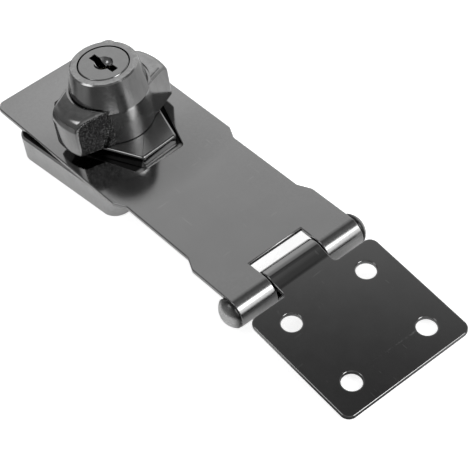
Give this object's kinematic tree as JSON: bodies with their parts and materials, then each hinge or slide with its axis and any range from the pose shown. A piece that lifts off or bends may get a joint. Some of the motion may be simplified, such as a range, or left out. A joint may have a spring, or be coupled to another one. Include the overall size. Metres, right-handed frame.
{
  "type": "cabinet door latch",
  "caption": "Keyed turn-knob hasp: a hinged strap with a slot goes over a hexagonal neck and is held by a winged knob with a key plug.",
  "frame": {"origin": "on the knob's turning axis, in the plane that the lock's base stands on", "axes": "+X along the strap to the hinge, +Y across the strap, +Z out of the mounting surface along the knob's axis"},
  "size_m": [0.1296, 0.04, 0.0275],
  "materials": {
    "black_nickel": "polished",
    "satin_nickel": "satin",
    "satin_steel": "satin",
    "zinc_steel": "bright",
    "spring_steel": "plain",
    "plain_brass": "plain"
  },
  "bodies": {
    "lock": {"hasp_strap": "black_nickel", "hinge_pin": "satin_steel", "lock_base": "satin_nickel", "neck_block": "black_nickel", "neck_screws": "zinc_steel"},
    "leaf": {"hinge_leaf": "black_nickel"},
    "knob": {"turn_knob": "black_nickel", "stop_washer": "zinc_steel", "spring_washer": "spring_steel", "knob_clip": "spring_steel", "bolt_cover": "zinc_steel"},
    "plug": {"key_plug": "black_nickel", "plug_clip": "spring_steel", "wafer_spring_1": "spring_steel", "wafer_spring_2": "spring_steel", "wafer_spring_3": "spring_steel", "wafer_spring_4": "spring_steel"},
    "bolt": {"locking_bolt": "zinc_steel"},
    "wafer_a": {"wafer_1": "plain_brass"},
    "wafer_b": {"wafer_2": "plain_brass"},
    "wafer_c": {"wafer_3": "plain_brass"},
    "wafer_d": {"wafer_4": "plain_brass"}
  },
  "joints": [
    {"name": "leaf_swing", "type": "hinge", "parent": "lock", "child": "leaf", "pos_m": [0.064, 0.0005, 0.0046], "axis": [0, -1, 0], "range_deg": [-170, 120]},
    {"name": "knob_turn", "type": "hinge", "parent": "lock", "child": "knob", "pos_m": [0, 0, 0], "axis": [0, 0, 1], "range_deg": [0, 90]},
    {"name": "plug_turn", "type": "hinge", "parent": "knob", "child": "plug", "pos_m": [0, 0, 0], "axis": [0, 0, 1], "range_deg": [0, 90]},
    {"name": "bolt_slide", "type": "slide", "parent": "knob", "child": "bolt", "axis": [0.9976, 0.0698, 0], "range_m": [0, 0.00205]},
    {"name": "wafer_slide_1", "type": "slide", "parent": "plug", "child": "wafer_a", "axis": [-0.9976, -0.0698, 0], "range_m": [0, 0.0006], "deforming": ["wafer_spring_1"]},
    {"name": "wafer_slide_2", "type": "slide", "parent": "plug", "child": "wafer_b", "axis": [0.9976, 0.0698, 0], "range_m": [0, 0.0006], "deforming": ["wafer_spring_2"]},
    {"name": "wafer_slide_3", "type": "slide", "parent": "plug", "child": "wafer_c", "axis": [-0.9976, -0.0698, 0], "range_m": [0, 0.0006], "deforming": ["wafer_spring_3"]},
    {"name": "wafer_slide_4", "type": "slide", "parent": "plug", "child": "wafer_d", "axis": [0.9976, 0.0698, 0], "range_m": [0, 0.0006], "deforming": ["wafer_spring_4"]}
  ],
  "couplings": [
    {"joint": "plug_turn", "follows": "bolt_slide", "rad_per_m": 765.8}
  ]
}
